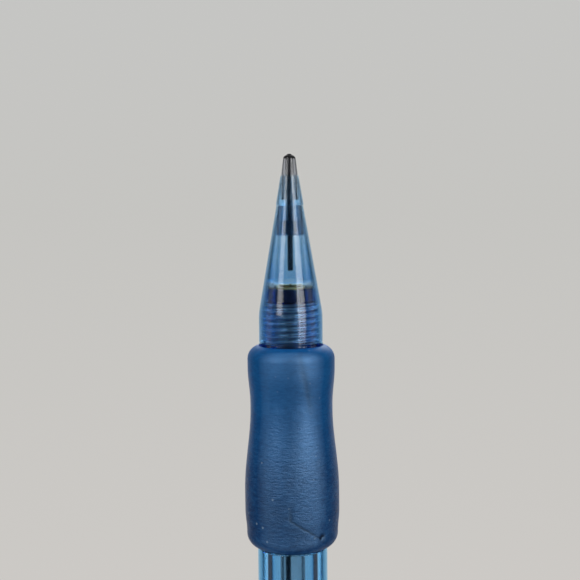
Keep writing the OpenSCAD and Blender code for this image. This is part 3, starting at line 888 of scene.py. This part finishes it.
def build_button():
    """Milky button: pushed on the lead tube in front, socket for the ferrule behind."""
    socket_end = eraser_top + 0.04
    tube_seat = tube_low - PUSH_GAP
    socket_r, tube_pocket_r, lead_hole_r = 2.35, TUBE_R + PUSH_GAP, 0.5
    section = rounded([
        (socket_r, button_low, 0.05), (BUTTON_R, button_low, 0.2), (BUTTON_R, button_top, 0.2),
        (tube_pocket_r, button_top, 0.1), (tube_pocket_r, tube_seat), (lead_hole_r, tube_seat),
        (lead_hole_r, socket_end), (socket_r, socket_end)])
    obj = lathe("push_button_moulded", section, MATERIALS["milky_plastic"])
    return place(obj, "button", "milky_plastic", "push_button")


def build_ferrule():
    """Thin metal band round the eraser."""
    section = tube_section(2.33, 2.13, ferrule_low, ferrule_top, 0.03, 0.03)
    obj = lathe("eraser_ferrule_band", section, MATERIALS["ferrule_metal"], SMALL_RING)
    return place(obj, "button", "ferrule_metal", "eraser_ferrule")


def build_eraser():
    """White eraser with a rounded rear end."""
    r = 2.11
    section = rounded([(0, eraser_low), (r, eraser_low, 0.6), (r, eraser_top, 0.05), (0, eraser_top)], 8)
    obj = lathe("eraser_stick", section, MATERIALS["eraser_white"], SMALL_RING, closed=False)
    return place(obj, "button", "eraser_white", "eraser")


def build_cap():
    """Clear cap over the eraser, with a flat rear end."""
    cap_r, bore = node_radius("eraser_cap"), BUTTON_R + 0.03
    floor = cap_low + 1.0
    section = rounded([
        (0, cap_low), (cap_r, cap_low, 0.5), (cap_r, cap_top, 0.15), (bore, cap_top, 0.08),
        (bore, floor, 0.2), (0, floor)], 8)
    obj = lathe("eraser_cap_clear", section, MATERIALS["blue_clear"], closed=False)
    return place(obj, "cap", "blue_clear", "eraser_cap")


def dress_cad_nodes():
    """Pieces whose CAD mesh is shown as it is, with their sharp edges eased."""
    for node, material, width in (("chuck", "brass", 0.04), ("clip", "navy_gloss", 0.25),
                                  ("rear_collar", "navy_gloss", 0.18)):
        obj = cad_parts[node]
        obj.data.materials.clear()
        obj.data.materials.append(MATERIALS[material])
        eased = obj.modifiers.new("eased", "BEVEL")
        eased.width = width * MM
        eased.segments = 3
        eased.limit_method = "ANGLE"
        eased.angle_limit = math.radians(35)


# ---------------------------------------------------------------- studio

FLOOR_Z = cad_low[2] - 0.032
FLOOR_RADIUS = 600  # millimetres
FLOOR_FADE = (0.10, 0.30)  # distances between which the floor fades into the background, in metres


def floor_paper():
    """Pale paper with a soft grain, which fades into the background."""
    mat, nodes, links = new_material("floor_paper")
    vector = coords(nodes, links)
    grain = noise_value(nodes, links, vector, 40, 5.0)
    body = principled(nodes, Roughness=0.9)
    color = ramp(nodes, links, grain, [(GRAIN_LOW, (0.60, 0.585, 0.56)), (GRAIN_HIGH, (0.63, 0.615, 0.59))])
    links.new(color, body.inputs["Base Color"])
    links.new(bump(nodes, links, grain, 0.05, 1.0 * MM), body.inputs["Normal"])
    length = nodes.new("ShaderNodeVectorMath")
    length.operation = "LENGTH"
    links.new(vector, length.inputs[0])
    fade = map_range(nodes, links, length.outputs["Value"], *FLOOR_FADE, 0.0, 1.0, smooth=True)
    finish_material(nodes, links, mix_shader(nodes, links, fade, body.outputs[0], transparent(nodes)))
    return mat


def build_floor():
    rings, sides = 8, 96
    verts = [(0, 0, 0)]
    for i in range(1, rings + 1):
        r = FLOOR_RADIUS * i / rings
        for k in range(sides):
            a = 2 * math.pi * k / sides
            verts.append((r * math.cos(a), r * math.sin(a), 0))
    faces = [(0, 1 + k, 1 + (k + 1) % sides) for k in range(sides)]
    for i in range(rings - 1):
        a, b = 1 + i * sides, 1 + (i + 1) * sides
        for k in range(sides):
            n = (k + 1) % sides
            faces.append((a + k, b + k, b + n, a + n))
    floor = make_object("floor", verts, faces, floor_paper())
    floor.location.z = FLOOR_Z


ROOM_COLOR = (0.02, 0.02, 0.023)
# edges of the paper behind and of the lighter side walls, as the cosine of the angle from behind
ROOM_EDGE = 0.64
PAPER_EDGE = 0.74
SIDE_BACK = 0.12
SIDE_FRONT = -0.25
SIDE_FADE = 0.06
SIDE_PALE = 0.75
PAPER_GAIN = 1.4  # how much brighter the paper is round the pencil than where the camera sees it


def build_world():
    """Pale paper to the camera. What the pencil reflects is paper behind it and a dim room in front."""
    world = bpy.data.worlds.new("studio")
    bpy.context.scene.world = world
    world.use_nodes = True
    nodes, links = world.node_tree.nodes, world.node_tree.links
    nodes.clear()
    split = nodes.new("ShaderNodeSeparateXYZ")
    links.new(nodes.new("ShaderNodeTexCoord").outputs["Generated"], split.inputs[0])
    up, away = split.outputs["Z"], split.outputs["Y"]
    paper = ramp(nodes, links, map_range(nodes, links, up, -0.4, 0.4, 0.0, 1.0), [
        (0.0, (0.61, 0.59, 0.565)), (0.5, (0.56, 0.555, 0.535)), (1.0, (0.56, 0.565, 0.56))])
    behind = map_range(nodes, links, away, ROOM_EDGE, PAPER_EDGE, 0.0, 1.0)
    overhead = map_range(nodes, links, up, 0.35, 0.9, 0.0, 0.6)
    side_front = map_range(nodes, links, away, SIDE_FRONT - SIDE_FADE, SIDE_FRONT, 0.0, SIDE_PALE)
    side_back = map_range(nodes, links, away, SIDE_BACK, SIDE_BACK + SIDE_FADE, SIDE_PALE, 0.0)
    side = math_node(nodes, links, "MINIMUM", side_front, side_back)
    pale = math_node(nodes, links, "MAXIMUM", math_node(nodes, links, "MAXIMUM", behind, side), overhead)
    room = mix_color(nodes, links, pale, ROOM_COLOR, paper)
    lit = nodes.new("ShaderNodeVectorMath")
    lit.operation = "SCALE"
    lit.inputs["Scale"].default_value = PAPER_GAIN
    links.new(room, lit.inputs[0])
    seen = nodes.new("ShaderNodeLightPath").outputs["Is Camera Ray"]
    back = nodes.new("ShaderNodeBackground")
    links.new(mix_color(nodes, links, seen, lit.outputs[0], paper), back.inputs["Color"])
    out = nodes.new("ShaderNodeOutputWorld")
    links.new(back.outputs[0], out.inputs["Surface"])


LIGHT_AIM = Vector((0, 0, cad_high[2] - 0.04))
SOFT_LIGHTS = (
    # name, azimuth and elevation in degrees, distance, width and height in metres, watts
    ("left_window", -42, 21, 0.7, 0.27, 0.42, 1.7),
    ("right_window", 33, 18, 0.7, 0.15, 0.62, 1.9),
    ("right_side_window", 48, 18, 0.7, 0.19, 0.62, 1.9),
    ("back_window", 170, 30, 0.8, 0.6, 0.5, 3.0),
    ("fill", 0, 25, 0.7, 0.8, 0.8, 1.7),
)
GLOSSY_ONLY = ("left_window", "right_window", "right_side_window")
DIFFUSE_ONLY = ("fill",)


def soft_light(name, azimuth, elevation, distance, width, height, power):
    """Rectangular soft light. Azimuth 0 is behind the camera, positive to the camera's right."""
    data = bpy.data.lights.new(name, "AREA")
    data.shape = "RECTANGLE"
    data.size, data.size_y = width, height
    data.energy = power
    obj = bpy.data.objects.new(name, data)
    bpy.context.scene.collection.objects.link(obj)
    az, el = math.radians(azimuth), math.radians(elevation)
    way = Vector((math.sin(az) * math.cos(el), -math.cos(az) * math.cos(el), math.sin(el)))
    obj.location = LIGHT_AIM + way * distance
    obj.rotation_euler = way.to_track_quat("Z", "Y").to_euler()
    obj.visible_diffuse = name not in GLOSSY_ONLY
    obj.visible_glossy = name not in DIFFUSE_ONLY
    obj.visible_transmission = name not in DIFFUSE_ONLY


CAMERA_SENSOR = 36
CAMERA_LENS = 62.131034
CAMERA_ELEVATION = 4.4
CAMERA_ROLL = -0.5
CAMERA_DISTANCE = 0.130
CAMERA_AIM_BELOW_TIP = 0.0176
CAMERA_SHIFT_X = -0.00006


def build_camera():
    data = bpy.data.cameras.new("camera")
    data.sensor_width = CAMERA_SENSOR
    data.lens = CAMERA_LENS
    data.clip_start = 0.005
    camera = bpy.data.objects.new("camera", data)
    bpy.context.scene.collection.objects.link(camera)
    el = math.radians(CAMERA_ELEVATION)
    back = Vector((0, -math.cos(el), math.sin(el)))
    aim = Vector((CAMERA_SHIFT_X, 0, cad_high[2] - CAMERA_AIM_BELOW_TIP))
    camera.location = aim + back * CAMERA_DISTANCE
    camera.rotation_euler = back.to_track_quat("Z", "Y").to_matrix().to_4x4().to_euler()
    camera.rotation_euler.rotate_axis("Z", math.radians(CAMERA_ROLL))
    bpy.context.scene.camera = camera


# ---------------------------------------------------------------- the pencil and its studio

for build_piece in (build_lead, build_tip_sleeve, build_nose_tip, build_retainer, build_cone, build_ring,
                    build_clutch_sleeve, build_spring, build_connector, build_tube, build_spare_lead,
                    build_barrel, build_grip, build_button, build_ferrule, build_eraser, build_cap):
    build_piece()
dress_cad_nodes()
build_floor()
build_world()
for light in SOFT_LIGHTS:
    soft_light(*light)
build_camera()
bpy.context.scene.view_settings.view_transform = "Standard"
